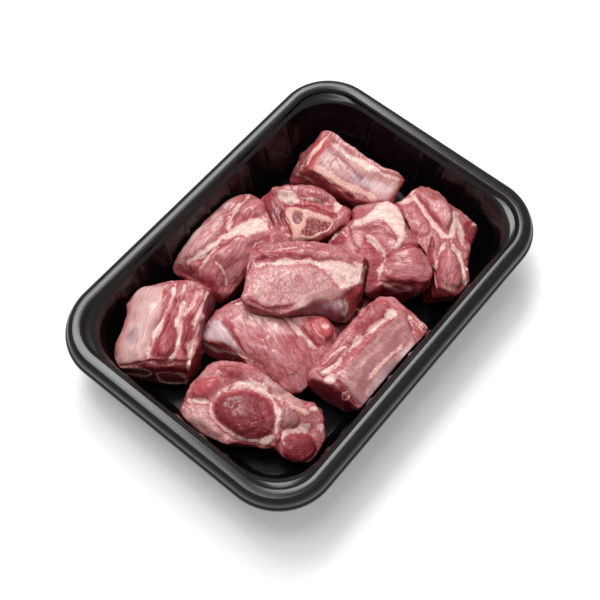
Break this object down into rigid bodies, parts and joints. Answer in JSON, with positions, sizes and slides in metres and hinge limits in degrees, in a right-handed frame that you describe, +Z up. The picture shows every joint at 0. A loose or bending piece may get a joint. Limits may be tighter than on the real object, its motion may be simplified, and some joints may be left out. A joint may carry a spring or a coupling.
{
  "type": "pack of mutton",
  "caption": "Open black thermoformed tray with a flat flange and ribbed walls, filled with raw bone-in mutton chunks, some cut across ribs and bone.",
  "frame": {"origin": "on the surface the tray stands on, under the middle of the tray", "axes": "+X along the tray's length, +Y across it, +Z up"},
  "size_m": [0.232, 0.167, 0.041],
  "materials": {
    "tray_plastic": "black moulded plastic with a soft gloss",
    "meat": "raw muscle with cream fat seams, moist",
    "rib_meat": "raw rib meat with a pale membrane over bone, moist"
  },
  "bodies": {
    "root": {"tray": "tray_plastic", "centre_slab": "meat", "lower_chunk": "meat", "right_rib": "rib_meat", "left_rib": "rib_meat", "loin_chunk": "meat", "far_rib": "rib_meat", "shoulder_chunk": "meat", "fat_cap_chunk": "meat", "right_chunk": "meat", "bone_chunk": "meat", "under_chunk": "meat"}
  },
  "joints": []
}
